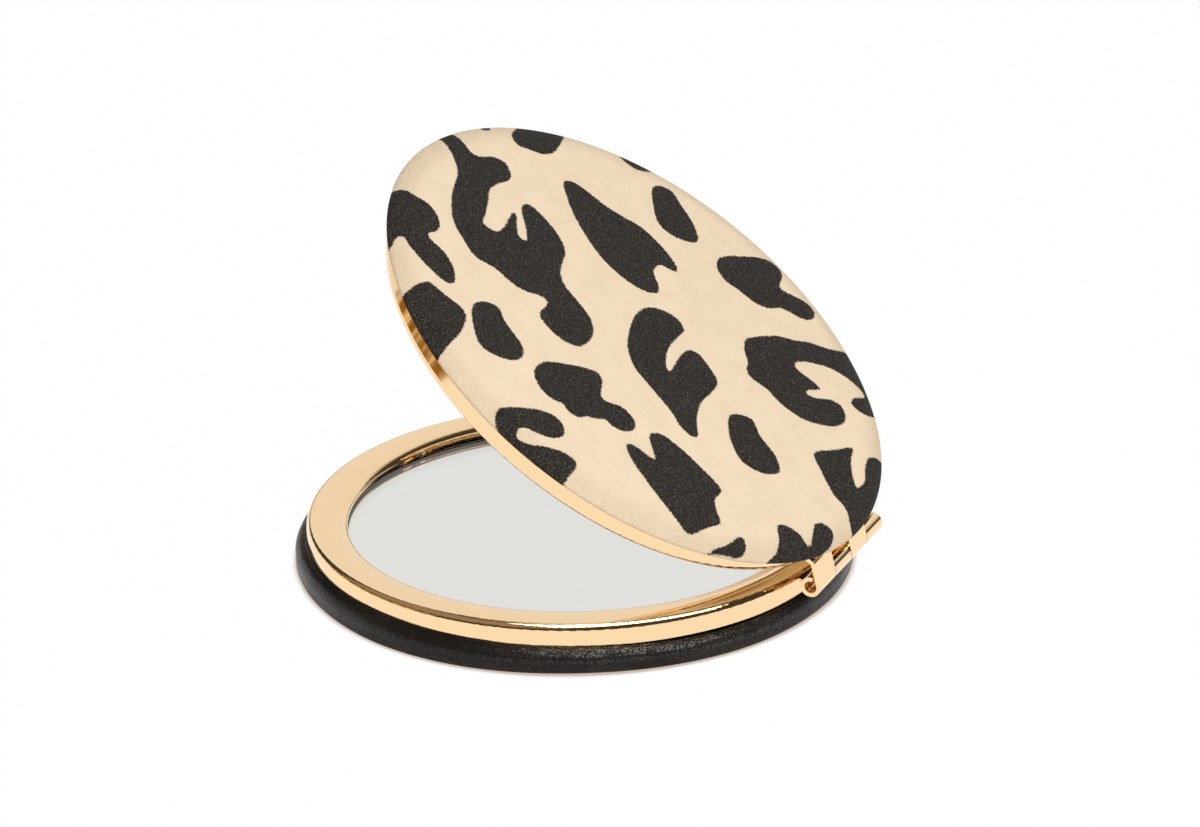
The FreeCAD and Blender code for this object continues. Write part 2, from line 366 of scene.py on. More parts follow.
def fine_grain_group():
    group, start, end = new_group("fine_grain", [
        ("Place", "NodeSocketVector", None), ("Pebble Scale", "NodeSocketFloat", 2000.0),
        ("Fibre Scale", "NodeSocketFloat", 6000.0)],
        [("Relief", "NodeSocketFloat"), ("Tone", "NodeSocketFloat")])
    pebbles = place(group, "ShaderNodeTexVoronoi", {
        "Vector": start["Place"], "Scale": start["Pebble Scale"]}, feature="SMOOTH_F1")
    fibres = noise_node(group, start["Place"], start["Fibre Scale"], detail=3.0, roughness=0.65)
    relief = math_node(group, "ADD", pebbles.outputs["Distance"], fibres)
    feed(group, end, {"Relief": relief, "Tone": fibres})
    return group


def effect(tree, group, values):
    """Places a shared effect with its own values, and hands back what it puts out."""
    return place(tree, "ShaderNodeGroup", {"Place": on_object(tree), **values}, node_tree=group).outputs


handling_marks = handling_marks_group()
fine_grain = fine_grain_group()
print("shared effects:", handling_marks.name, fine_grain.name)


# %% [markdown]
# The frames and hinge straps are gold-plated and polished. The pin's end is rougher, and its colour is
# painted dark brown, as painted shade for the hollow of the hinge's curl where it sits. A metal's base
# colour is the colour of what it reflects, so plating needs no more than a warm base colour, a low
# roughness and the faintest waves of pressed sheet.

# %% Polished gold, and brushed gold with painted shade
gold_colour = (0.978, 0.712, 0.418)
# The pin's dark brown colour is painted shade for the hollow of the hinge's curl.
pin_shade_colour = (0.40, 0.22, 0.09)


def gold_plate(name, colour, clean, smudged):
    material, tree, shader = fresh_material(name)
    marks = effect(tree, handling_marks, {"Cloud Scale": 260.0, "Clean": clean, "Smudged": smudged})
    waves = place(tree, "ShaderNodeBump", {
        "Height": marks["Waves"], "Strength": 0.05, "Distance": 0.2 * mm})
    feed(tree, shader, {
        "Base Color": (*colour, 1), "Metallic": 1.0, "Roughness": marks["Roughness"],
        "Normal": waves.outputs["Normal"]})
    return material


gold = gold_plate("polished_gold", gold_colour, 0.045, 0.09)
# The pin's gold: rougher, and darkened with painted shade.
brushed_gold_painted_shade = gold_plate("brushed_gold_painted_shade", pin_shade_colour, 0.38, 0.5)
print("made", gold.name, "and", brushed_gold_painted_shade.name)

# %% [markdown]
# Each mirror is two pieces, as on the real thing: a clear glass disc, and a thin silvering on its back.
# The glass bends the light on its way in and out, which gives the little step where the rim meets its own
# reflection.

# %% Mirror glass and silvering
silver_colour = (0.875, 0.865, 0.83)
glass_colour = (0.985, 0.99, 0.985)


def mirror_glass():
    material, tree, shader = fresh_material("clear_glass")
    marks = effect(tree, handling_marks, {"Cloud Scale": 60.0, "Clean": 0.0, "Smudged": 0.02})
    feed(tree, shader, {
        "Base Color": (*glass_colour, 1), "Transmission Weight": 1.0, "Metallic": 0.0, "IOR": 1.5,
        "Roughness": marks["Roughness"]})
    return material


def mirror_silvering():
    material, tree, shader = fresh_material("silvering")
    marks = effect(tree, handling_marks, {"Clean": 0.02, "Smudged": 0.03})
    feed(tree, shader, {
        "Base Color": (*silver_colour, 1), "Metallic": 1.0, "Roughness": marks["Roughness"]})
    return material


glass = mirror_glass()
silvering = mirror_silvering()
print("made", glass.name, "and", silvering.name)

# %% [markdown]
# The base is covered in black leather with a satin finish. Its grain is a relief, so it goes to a Bump
# node, and the hollows between the grains are a little darker and rougher than the rubbed tops. Where the
# leather is gathered in folds, its grain stands up more and its tops glint. A value stored on the mesh
# says where that is.

# %% Black leather
leather_dark = (0.0055, 0.0047, 0.0042)
leather_worn = (0.0220, 0.0182, 0.0157)
leather_gloss = (1.0, 0.90, 0.82)
grain_height = 0.4
gathered_height = 1.9


def black_leather():
    material, tree, shader = fresh_material("black_leather")
    grain = effect(tree, fine_grain, {"Pebble Scale": 4600.0, "Fibre Scale": 3800.0})
    gathered = stored_value(tree, "gathered")
    patches = noise_node(tree, on_object(tree), 160.0, detail=3.0)
    patch_tone = ramp_between(tree, patches, 0.3, 0.7, 0.7, 1.0)
    tone = math_node(tree, "MULTIPLY", grain["Tone"], patch_tone)
    colour = mixed(tree, ramp_between(tree, tone, 0.35, 0.6), leather_dark, leather_worn)
    rise = math_node(tree, "MULTIPLY_ADD", gathered, gathered_height, grain_height)
    height = math_node(tree, "MULTIPLY", grain["Relief"], rise)
    relief = place(tree, "ShaderNodeBump", {"Height": height, "Strength": 0.8, "Distance": 0.06 * mm})
    rough = ramp_between(tree, grain["Tone"], 0.35, 0.65, 0.42, 0.32)
    rubbed = ramp_between(tree, grain["Tone"], 0.4, 0.7, 0.03, 0.22)
    glint = math_node(tree, "MULTIPLY", gathered, ramp_between(tree, grain["Tone"], 0.45, 0.6))
    feed(tree, shader, {
        "Base Color": colour, "Roughness": rough, "Specular IOR Level": 0.18,
        "Specular Tint": (*leather_gloss, 1), "Coat Weight": math_node(tree, "MAXIMUM", rubbed, glint),
        "Coat Roughness": 0.12, "Normal": relief.outputs["Normal"]})
    return material


leather = black_leather()
print("made", leather.name)

# %% [markdown]
# The lid wears a cream microsuede with an animal print. Each spot is drawn the way an artist draws it, as
# a closed outline through a few points, in millimetres on the shut lid seen from above, with the hinge at
# the top. The suede's mesh then stores how far each of its points lies from the nearest outline, less
# than nothing inside a spot. The material turns that distance into ink with a soft ragged edge, which
# stays sharp from any distance.

# %% Outlines of the printed spots
spots = {
    "hinge_fork": [
        (-11.9, 27.5), (-8.6, 26.1), (-5.0, 24.7), (-2.8, 27.1), (-1.0, 29.8), (-0.4, 32.2),
        (1.6, 34.6), (1.0, 37.0), (-8.0, 37.0), (-15.5, 33.5), (-14.7, 30.9), (-13.0, 29.8),
        (-10.3, 30.4), (-8.2, 31.4), (-5.8, 31.3), (-7.4, 29.7), (-9.7, 28.4)],
    "hinge_pair": [
        (5.0, 32.5), (5.5, 31.3), (6.9, 30.8), (8.6, 31.4), (10.5, 32.2), (10.9, 31.7), (10.6, 30.2),
        (11.2, 28.5), (12.5, 27.8), (14.2, 28.9), (16.2, 29.9), (19.0, 30.4), (18.0, 33.0),
        (12.0, 36.0), (9.6, 34.3), (7.2, 34.0), (5.6, 33.4)],
    "hinge_dot": [
        (19.3, 25.9), (19.9, 26.9), (21.2, 27.4), (22.3, 27.1), (23.3, 26.2), (24.5, 25.2),
        (25.4, 24.6), (24.2, 24.6), (22.4, 25.2), (20.2, 25.4)],
    "tooth": [
        (14.6, 19.4), (15.2, 20.3), (17.4, 20.5), (19.0, 21.7), (20.2, 22.9), (22.8, 22.2),
        (25.3, 21.6), (26.1, 20.7), (25.3, 17.5), (24.2, 13.9), (22.7, 10.2), (21.3, 8.8), (20.3, 9.5),
        (19.9, 11.6), (19.4, 12.2), (18.1, 10.9), (16.4, 9.7), (14.7, 10.7), (14.2, 13.6),
        (14.3, 16.6)],
    "hinge_oval": [
        (3.6, 23.4), (6.2, 22.2), (7.4, 19.8), (6.6, 17.8), (4.3, 15.6), (1.6, 14.4), (-0.3, 15.4),
        (-1.0, 16.8), (0.5, 18.8), (1.4, 21.6)],
    "claw": [
        (-17.6, 22.6), (-16.7, 24.0), (-15.0, 24.6), (-12.6, 24.0), (-10.4, 22.3), (-8.9, 20.4),
        (-8.3, 18.2), (-8.4, 16.2), (-8.6, 15.0), (-8.1, 12.9), (-8.7, 11.7), (-10.2, 11.1),
        (-12.0, 9.6), (-14.0, 8.8), (-16.0, 9.3), (-18.5, 10.4), (-20.0, 11.2), (-22.0, 13.0),
        (-24.0, 14.4), (-26.2, 16.8), (-29.0, 18.5), (-31.0, 19.5), (-28.5, 24.0), (-23.5, 28.0),
        (-21.8, 26.8), (-20.3, 26.0), (-19.5, 24.5), (-19.9, 23.4), (-21.2, 23.3), (-23.2, 24.1),
        (-24.0, 23.4), (-23.8, 21.4), (-22.8, 18.8), (-21.2, 17.0), (-19.4, 15.6), (-17.8, 15.1),
        (-17.0, 15.8), (-17.3, 17.8), (-17.4, 19.3), (-16.9, 19.5), (-15.4, 18.8), (-14.4, 18.6),
        (-14.3, 19.3), (-15.3, 20.3), (-16.8, 21.3)],
    "mitten": [
        (-31.3, 11.2), (-30.3, 12.2), (-28.6, 12.4), (-27.2, 11.5), (-26.3, 9.8), (-25.5, 8.7),
        (-23.6, 7.8), (-22.3, 6.2), (-21.9, 3.6), (-21.5, 1.5), (-22.4, -0.3), (-24.3, -1.1),
        (-26.4, -0.7), (-28.5, 0.3), (-31.5, 2.0), (-33.2, 3.6), (-33.3, 4.9), (-32.0, 5.8),
        (-30.0, 6.4), (-29.3, 7.0), (-30.0, 8.4), (-30.9, 9.9)],
    "far_oval": [
        (-24.5, -4.6), (-22.4, -5.4), (-21.0, -7.6), (-21.3, -9.7), (-23.5, -11.6), (-26.2, -13.3),
        (-28.2, -13.4), (-29.5, -11.8), (-28.6, -9.8), (-26.8, -6.6)],
    "wedge": [
        (-15.3, -3.3), (-14.6, -3.7), (-13.8, -5.1), (-12.5, -5.3), (-11.2, -4.9), (-9.7, -3.3),
        (-8.2, -2.7), (-6.5, -4.0), (-5.6, -6.6), (-5.6, -9.7), (-6.6, -12.6), (-8.6, -16.2),
        (-11.3, -19.3), (-13.3, -20.9), (-14.8, -20.4), (-15.4, -18.6), (-15.8, -15.2), (-16.7, -12.6),
        (-17.6, -10.2), (-17.3, -6.6), (-16.2, -3.9)],
    "comma": [
        (9.8, 13.6), (10.8, 12.9), (10.7, 11.2), (9.9, 9.8), (9.2, 7.4), (8.6, 4.9), (7.8, 2.4),
        (6.0, 0.4), (3.4, -1.0), (0.4, -2.0), (-2.2, -2.4), (-4.6, -1.9), (-6.2, -0.4), (-6.8, 1.4),
        (-6.0, 2.9), (-4.4, 3.1), (-2.0, 3.2), (0.4, 3.6), (2.4, 4.5), (3.4, 5.4), (2.6, 5.6),
        (0.4, 5.2), (-1.6, 5.0), (-3.2, 5.2), (-4.0, 6.3), (-3.6, 8.0), (-2.4, 10.2), (-0.6, 10.8),
        (3.0, 10.9), (5.2, 11.3), (7.2, 12.1)],
    "pebble": [
        (16.0, 6.0), (16.5, 7.4), (18.0, 8.0), (19.6, 7.4), (20.4, 6.0), (20.4, 4.9), (21.6, 4.1),
        (22.4, 3.2), (23.6, 2.8), (24.2, 1.4), (23.8, 0.3), (24.5, -1.0), (24.5, -2.6), (23.4, -4.4),
        (21.6, -5.1), (19.6, -4.8), (17.4, -3.3), (15.4, -1.6), (14.1, 0.0), (14.7, 1.2), (16.4, 2.0),
        (17.4, 2.6), (17.2, 3.6), (16.2, 4.8)],
    "rim_hook": [
        (30.7, 6.3), (31.3, 6.8), (33.5, 7.1), (36.5, 7.2), (36.8, 2.0), (36.3, -0.6), (35.0, -2.9),
        (33.8, -3.9), (32.4, -3.9), (29.5, -2.2), (27.4, -0.4), (26.7, 1.2), (27.5, 2.7), (29.0, 3.1),
        (30.6, 2.3), (31.6, 1.0), (32.3, -0.3), (33.2, -0.8), (34.3, -0.4), (34.4, 0.2), (33.8, 1.4),
        (32.4, 2.8), (31.1, 4.4), (30.7, 5.4)],
    "bean": [
        (22.4, -7.0), (24.4, -7.7), (25.9, -9.8), (25.8, -11.6), (24.4, -13.2), (22.0, -15.0),
        (20.0, -15.5), (18.2, -14.5), (17.8, -13.2), (18.8, -11.9), (19.6, -10.0), (20.5, -7.9)],
    "rim_block": [
        (22.8, -16.3), (23.4, -15.0), (25.2, -14.2), (27.5, -13.7), (30.5, -13.5), (33.0, -13.2),
        (35.0, -14.0), (31.0, -22.0), (27.5, -21.7), (25.0, -21.5), (23.3, -20.9), (23.1, -19.8),
        (23.0, -18.0)],
    "rim_thumb": [
        (20.0, -19.0), (20.9, -19.5), (21.1, -21.3), (20.8, -23.6), (20.2, -25.6), (19.5, -27.0),
        (20.2, -27.6), (22.5, -27.3), (24.0, -29.0), (17.0, -34.0), (12.0, -32.3), (11.3, -30.3),
        (10.8, -28.6), (11.4, -26.9), (12.8, -25.6), (14.4, -25.3), (15.6, -25.6), (16.3, -24.8),
        (16.4, -22.8), (17.4, -20.8), (18.8, -19.5)],
    "branch": [
        (10.8, -3.4), (12.8, -3.9), (13.9, -5.8), (13.8, -8.2), (12.8, -9.8), (10.6, -10.0),
        (9.7, -10.6), (10.1, -11.7), (11.3, -13.0), (11.9, -15.0), (11.9, -17.5), (12.8, -19.9),
        (11.9, -22.1), (10.4, -24.7), (8.4, -26.4), (5.4, -28.1), (2.0, -29.4), (0.3, -30.5),
        (-1.4, -32.4), (-2.6, -34.2), (-3.5, -36.0), (-6.0, -36.0), (-5.3, -33.2), (-4.5, -31.5),
        (-4.4, -30.5), (-5.0, -29.7), (-6.8, -28.8), (-7.7, -27.4), (-6.8, -25.9), (-5.2, -25.2),
        (-3.0, -25.6), (-0.6, -25.6), (1.8, -24.5), (4.2, -23.5), (5.8, -22.9), (6.2, -22.0),
        (5.5, -20.9), (3.8, -20.8), (1.6, -21.3), (0.0, -21.6), (-0.2, -21.1), (1.4, -20.1),
        (2.9, -19.0), (3.0, -18.1), (2.2, -18.0), (0.4, -19.3), (-1.4, -20.9), (-3.0, -21.7),
        (-4.1, -20.8), (-3.9, -18.4), (-3.0, -15.8), (-1.4, -13.9), (0.8, -13.0), (3.2, -12.0),
        (4.6, -10.4), (5.3, -8.0), (6.2, -5.6), (8.2, -3.9)],
    "front_oval": [
        (-17.3, -24.8), (-15.3, -25.4), (-13.8, -27.0), (-12.9, -28.4), (-14.0, -29.8), (-16.5, -30.3),
        (-18.0, -31.0), (-24.5, -28.0), (-23.5, -26.2), (-20.5, -25.3)],
    "rim_dot": [
        (-31.5, -15.5), (-29.2, -15.8), (-27.8, -16.8), (-27.6, -18.6), (-28.4, -19.6), (-30.5, -20.5),
        (-33.0, -18.0)],
    "rim_speck": [
        (-13.0, -33.0), (-12.2, -32.1), (-11.3, -32.2), (-10.9, -32.6), (-12.0, -34.5), (-13.8, -34.0)],
}
print("the print has", len(spots), "spots drawn with", sum(map(len, spots.values())), "points")


# %% How far a point is from the print
curve_steps = 8
tiny = 1e-12


def rounded_outline(corners):
    """A closed Catmull-Rom curve through the outline's points."""
    here = np.array(corners, float)
    before, after, beyond = np.roll(here, 1, 0), np.roll(here, -1, 0), np.roll(here, -2, 0)
    t = (np.arange(curve_steps) / curve_steps)[:, None, None]
    curve = 2 * here + (after - before) * t + (2 * before - 5 * here + 4 * after - beyond) * t ** 2
    curve = (curve + (3 * here - before - 3 * after + beyond) * t ** 3) / 2
    return curve.transpose(1, 0, 2).reshape(-1, 2)


def distance_to_outline(points, outline):
    """Signed distance to a closed outline, less than nothing inside it."""
    nearest = np.full(len(points), np.inf)
    inside = np.zeros(len(points), bool)
    for start, end in zip(outline, np.roll(outline, -1, 0)):
        side = end - start
        reached = np.clip(((points - start) @ side) / max(side @ side, tiny), 0, 1)
        nearest = np.minimum(nearest, np.hypot(*(points - start - reached[:, None] * side).T))
        crosses = (start[1] > points[:, 1]) != (end[1] > points[:, 1])
        climb = side[1] if side[1] else tiny
        inside ^= crosses & (points[:, 0] < start[0] + side[0] * (points[:, 1] - start[1]) / climb)
    return np.where(inside, -nearest, nearest)


def print_distance(points, reach=2.0):
    """Distance of each point to the nearest spot, up to reach, past which no point is measured."""
    distance = np.full(len(points), reach)
    for corners in spots.values():
        outline = rounded_outline(corners)
        near = np.all((points > outline.min(0) - reach) & (points < outline.max(0) + reach), axis=1)
        distance[near] = np.minimum(distance[near], distance_to_outline(points[near], outline))
    return distance


middle = np.zeros((1, 2))
print("the lid's middle lies", print_distance(middle)[0].round(2), "mm from the nearest outline")

# %% [markdown]
# Microsuede is brushed, so its face is a nap of tiny fibres. A fine relief breaks up the light, and the
# shader's sheen lifts it where the surface turns away. The ink reads the stored distance, with noise
# added to it so that the edge of each spot frays. Round the rim the cream is painted darker with painted
# shade, and a second stored value says how near the rim a point is.

# %% Printed suede
suede_cream = (0.865, 0.71, 0.52)
suede_shade = (0.735, 0.59, 0.415)
# The next colour is the painted shade round the rim.
suede_rim_shade = (0.60, 0.475, 0.33)
cloud_shade, fibre_shade = 0.35, 0.3
# How much painted shade the rim gets, with more on the darker fibres.
rim_shade_share, rim_shade_fibre = 0.28, 0.4
ink_dark = (0.018, 0.0155, 0.0133)
ink_grey = (0.115, 0.1000, 0.0870)
ink_bleed = 0.06
ink_ragged = 0.9


def printed_suede():
    material, tree, shader = fresh_material("printed_suede")
    nap = effect(tree, fine_grain, {"Pebble Scale": 4200.0, "Fibre Scale": 5000.0})
    noisy = noise_node(tree, on_object(tree), 320.0, detail=5.0, roughness=0.65)
    clouds = ramp_between(tree, noisy, 0.35, 0.7)
    fibre = ramp_between(tree, nap["Tone"], 0.36, 0.64)
    fibres = math_node(tree, "MULTIPLY", fibre, fibre_shade)
    shade = math_node(tree, "MULTIPLY_ADD", clouds, cloud_shade, fibres)
    cream = mixed(tree, shade, suede_cream, suede_shade)
    # Painted shade towards the rim, stronger on the darker fibres.
    rim_shade_amount = math_node(tree, "MULTIPLY_ADD", fibre, rim_shade_fibre, rim_shade_share)
    rim_painted_shade = math_node(tree, "MULTIPLY", stored_value(tree, "rim_share"), rim_shade_amount)
    cream = mixed(tree, rim_painted_shade, cream, suede_rim_shade)
    ink = mixed(tree, ramp_between(tree, nap["Tone"], 0.48, 0.72), ink_dark, ink_grey)
    ragged = math_node(tree, "MULTIPLY", math_node(tree, "SUBTRACT", nap["Tone"], 0.5), ink_ragged)
    frayed = math_node(tree, "ADD", stored_value(tree, "print_distance"), ragged)
    inked = ramp_between(tree, frayed, ink_bleed, -ink_bleed)
    relief = place(tree, "ShaderNodeBump", {
        "Height": nap["Relief"], "Strength": 0.6, "Distance": 0.07 * mm})
    feed(tree, shader, {
        "Base Color": mixed(tree, inked, cream, ink), "Roughness": 0.92, "Specular IOR Level": 0.1,
        "Sheen Weight": 0.04, "Sheen Roughness": 0.5, "Normal": relief.outputs["Normal"]})
    return material


suede = printed_suede()
print("made", suede.name)

# %% [markdown]
# Both covers are round, so each starts as half a cross-section and is spun about the axis with
# bmesh.ops.spin. A padded cover is closed: the outer skin runs from the middle of its face round the rim
# and in under the frame, and comes back round the stiff board that lies inside it. Cloth simulation would
# suit a loose cushion, but these covers are glued tight over thin foam, so the section is drawn as it
# lies and soft unevenness is added after.

# %% Drawing a cover's cross-section
board_room = 0.05 * mm
turn_in_play = 0.05 * mm
seat_edge = wall_radius + turn_in_play


def quarter(start, corner, end, steps):
    """Points of a quarter ellipse that leaves start towards corner and reaches end, without the first."""
    start, corner, end = Vector(start), Vector(corner), Vector(end)
    centre = start + end - corner
    turns = [math.pi / 2 * (i + 1) / steps for i in range(steps)]
    return [tuple(centre + (start - centre) * math.cos(a) + (end - centre) * math.sin(a)) for a in turns]


def line(start, end, steps):
    """Points of a straight line, without the first."""
    start, end = Vector(start), Vector(end)
    return [tuple(start.lerp(end, (i + 1) / steps)) for i in range(steps)]


def board_pocket(start, first_face, last_face, board_radius):
    """Points from the turned-in edge round the board: along its first face, and back on its last one."""
    pocket = [start]
    edge = board_radius + board_room
    for radius, height, steps in ((tape_radius, first_face, 1), (edge, first_face, 4), (edge, last_face, 1),
                                  (0, last_face, 4)):
        pocket += line(pocket[-1], (radius, height), steps)
    return pocket[1:]


print("the covers turn in under the frames at", round(seat_edge / mm, 2), "mm")

# %% Spinning a cross-section and finishing a piece
spin_parts = 8
merge_distance = 0.001 * mm


def spun(section, turns):
    """A bmesh of a section of (radius, height) points turned full circle about Z.

    A spin of many steps is slow, so it makes an eighth, which is then doubled three times.
    """
    mesh = bmesh.new()
    corners = [mesh.verts.new((radius, 0, height)) for radius, height in section]
    edges = [mesh.edges.new(pair) for pair in zip(corners, corners[1:])]
    bmesh.ops.spin(mesh, geom=corners + edges, cent=(0, 0, 0), axis=(0, 0, 1),
                   angle=2 * math.pi / spin_parts, steps=turns // spin_parts)
    for part in (spin_parts, spin_parts // 2, spin_parts // 4):
        made = bmesh.ops.duplicate(mesh, geom=mesh.verts[:] + mesh.edges[:] + mesh.faces[:])["geom"]
        moved = [item for item in made if isinstance(item, bmesh.types.BMVert)]
        turn = Matrix.Rotation(2 * math.pi / part, 3, "Z")
        bmesh.ops.rotate(mesh, verts=moved, cent=(0, 0, 0), matrix=turn)
    bmesh.ops.remove_doubles(mesh, verts=mesh.verts[:], dist=merge_distance)
    bmesh.ops.recalc_face_normals(mesh, faces=mesh.faces[:])
    return mesh


def finished(mesh, name, material, smooth=True):
    """Turns a bmesh into an object at the origin, shaded smooth unless it is flat with sharp edges."""
    data = bpy.data.meshes.new(name)
    mesh.to_mesh(data)
    mesh.free()
    if smooth:
        data.shade_smooth()
    data.materials.append(material)
    piece = bpy.data.objects.new(name, data)
    scene.collection.objects.link(piece)
    return piece


def store(piece, label, values):
    """Stores a number for each point of a piece's mesh, for its material to read."""
    attribute = piece.data.attributes.new(label, "FLOAT", "POINT")
    attribute.data.foreach_set("value", values.astype(np.float32))


print("a full turn is spun in", spin_parts, "parts")

# %% [markdown]
# The suede lies almost flat, swells a little to the middle, and falls away in a wide soft edge. The
# distance to the print is measured on the spread-out cloth, so past the flat part the radius grows with
# the length along the curved edge.

# %% Lid: the suede cover's shape
suede_turns = 480
face_rings, edge_rings, under_rings, turn_in_rings = 84, 22, 10, 4
lid_edge_width = 4.0 * mm
lid_edge_rise = 0.45 * mm
lid_crown = 0.3 * mm
lid_flat = rim_radius - lid_edge_width
lid_face = lid_top - lid_crown


def crown_height(radius):
    return lid_face + lid_crown * (1 - (radius / lid_flat) ** 2)


face_radii = [lid_flat * ring / face_rings for ring in range(face_rings + 1)]
lid_section = [(radius, crown_height(radius)) for radius in face_radii]
rim_low = (rim_radius, lid_seat + lid_edge_rise)
lid_section += quarter(lid_section[-1], (rim_radius, lid_face), rim_low, edge_rings)
lid_section += quarter(lid_section[-1], (rim_radius, lid_seat), (seat_edge, lid_seat), under_rings)
edge_section = np.array(lid_section[face_rings:])
lid_section += line(lid_section[-1], (tape_radius, lid_seat), turn_in_rings)
lid_section += board_pocket(lid_section[-1], lid_board[0].z - board_room, lid_board[1].z + board_room,
                            lid_board[1].x)
lid_mesh = spun(lid_section, suede_turns)
print("suede section of", len(lid_section), "points, flat to", round(lid_flat / mm, 2), "mm")

# %% Lid: the print on the spread-out suede
# How far in from the rim the painted shade reaches.
rim_shade_width = 3.6 * mm

places = np.array([v.co for v in lid_mesh.verts])
flat_radius = np.hypot(places[:, 0], places[:, 1])
edge_steps = np.hypot(*np.diff(edge_section, axis=0).T)
edge_length = lid_flat + np.concatenate([[0], edge_steps.cumsum()])
spread = flat_radius.copy()
edge = flat_radius > lid_flat
edge_points = zip(flat_radius[edge], places[edge, 2])
nearest = [np.argmin(np.hypot(*(edge_section - point).T)) for point in edge_points]
spread[edge] = edge_length[nearest]
stretch = spread / np.maximum(flat_radius, 1e-9)
distances = print_distance(places[:, :2] * stretch[:, None] / mm)
to_rim = np.clip((spread - lid_flat) / rim_shade_width, 0, 1)

lid_mesh.transform(open_lid)
lid_suede = finished(lid_mesh, "lid_suede", suede)
store(lid_suede, "print_distance", distances)
store(lid_suede, "rim_share", to_rim ** 2 * (3 - 2 * to_rim))
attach(lid_suede, "lid")
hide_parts("lid_fabric_cover", "lid_padding")
print("lid_suede:", len(lid_suede.data.polygons), "faces")

# %% [markdown]
# The leather is thicker, and was pulled over its foam by hand, so no two places on the rim are alike: it
# climbs the gold wall on the left, gapes and wrinkles below it at the front, and lies tight beside the
# hinge. So the roll's section is a formula with three sizes, and each size is given at a few azimuths
# round the rim and smoothed between them. The cover is spun from one section, and then each of its points
# moves to where its own azimuth puts it.

# %% Base: the leather's roll and how it changes round the rim
overhang_stops = [(-65, 1.54), (-50, 1.3), (-35, 1.24), (-20, 1.36), (0, 1.38), (40, 1.3), (60, 1.24),
                  (72, 1.14), (82, 1.02), (90, 0.9), (98, 0.76), (106, 0.66), (116, 0.62), (150, 0.8),
                  (205, 1.3)]
corner_stops = [(-45, 0.3), (-15, 0.25), (5, 0.4), (25, 0.75), (40, 0.55), (60, 0.35), (80, 0.5), (180, 0.6)]
climb_stops = [(-60, 0.1), (-35, 0.3), (-20, 0.38), (-5, 0.2), (10, 0.05), (25, 0.0), (37, -0.15),
               (50, -0.4), (60, -0.35), (73, -0.1), (85, 0.0), (180, 0.05)]
wrinkle_stops = [(-40, 0.15), (0, 0.3), (15, 0.6), (30, 1.0), (62, 1.0), (76, 0.3), (100, 0.1), (220, 0.15)]
smoothing_degrees = 19
roll_side_top = 1.45
roll_corner_slope = 1.2
roll_foot = 0.05
corner_share, side_share = 0.18, 0.18
roll_steps = 56
back_azimuth = 180.0


def around(stops, azimuth):
    """A value that is given at a few azimuths in degrees, smoothed between them all the way round."""
    fine = np.arange(-360.0, 720.0)
    values = np.interp(fine, *zip(*stops), period=360)
    window = np.hanning(smoothing_degrees)
    return np.interp(azimuth % 360, fine, np.convolve(values, window / window.sum(), "same"))


def leather_roll(share, azimuth):
    """Distance out from the wall and height in mm, from the underside at share 0 round to the wall at 1."""
    overhang, corner = around(overhang_stops, azimuth), around(corner_stops, azimuth)
    top = base_seat / mm + around(climb_stops, azimuth)
    over_share = 1 - corner_share - side_share
    turn = np.clip(share / corner_share, 0, 1) * math.pi / 2
    up = np.clip((share - corner_share) / side_share, 0, 1)
    over = np.clip((share - corner_share - side_share) / over_share, 0, 1) * math.pi / 2
    corner_height = corner * roll_corner_slope
    out = overhang - corner * (1 - np.sin(turn)) - (overhang - roll_foot) * (1 - np.cos(over))
    height = corner_height * (1 - np.cos(turn)) + (roll_side_top - corner_height) * up
    return out, height + (top - roll_side_top) * np.sin(over)


roll_shares = np.arange(roll_steps + 1) / roll_steps
roll_out, roll_height = leather_roll(roll_shares, np.full(roll_steps + 1, back_azimuth))
print("at the back the leather reaches", roll_out.max().round(2), "mm past the wall")

# %% Base: the leather cover's section, spun
leather_turns = 720
dip_start = 31.0 * mm

roll_points = [(wall_radius + out * mm, height * mm) for out, height in zip(roll_out, roll_height)]
flat_points = [(0.0, 0.0)] + line((0, 0), (wall_radius, 0), 6)
base_section = flat_points + roll_points
roll_start, roll_end = len(flat_points), len(base_section)
base_section += line((seat_edge, base_seat), (dip_start, base_seat), 6)
base_section += line(base_section[-1], (tape_radius, base_seat), 2)
base_section += board_pocket(base_section[-1], base_board[1].z + board_room, base_board[0].z - board_room,
                             base_board[1].x)
base_mesh = spun(base_section, leather_turns)
print("leather section of", len(base_section), "points, of which the roll has", len(roll_points))

# %% [markdown]
# Every point of the spun leather knows its place in the section, and so its share of the way round the
# roll. The formula gives its new place. Below the wall, where the skin was gathered, ridges run along the
# rim, bent by slow waves and broken by finer creases, and they fade out before the roll's foot.

# %% Base: the leather moved to its place round the rim
wave_size, crease_size = 2.6 * mm, 0.9 * mm
wrinkle_count = 3.2
wrinkle_height = 0.085
wave_height = 0.09
wave_bend = 2.5
crease_share = 0.8
wave_out = 0.03
gathered_start, gathered_fade = 0.33, 0.08
ridge_start, ridge_fade, foot_fade, corner_fade = 0.55, 0.2, 0.06, 0.2


def unevenness(points, size):
    """Smooth noise at each point, with swells of about the given size."""
    return np.array([noise.noise(Vector(point) / size) for point in points])


places = np.array([v.co for v in base_mesh.verts])
azimuths = np.degrees(np.arctan2(places[:, 1], places[:, 0]))
radii = np.hypot(places[:, 0], places[:, 1])
heights = places[:, 2].copy()
section_points = np.array(base_section)
step = np.array([np.argmin(np.hypot(*(section_points - point).T)) for point in zip(radii, heights)])
rolled = (step >= roll_start) & (step < roll_end)
shares = roll_shares[step[rolled] - roll_start]
out, height = leather_roll(shares, azimuths[rolled])

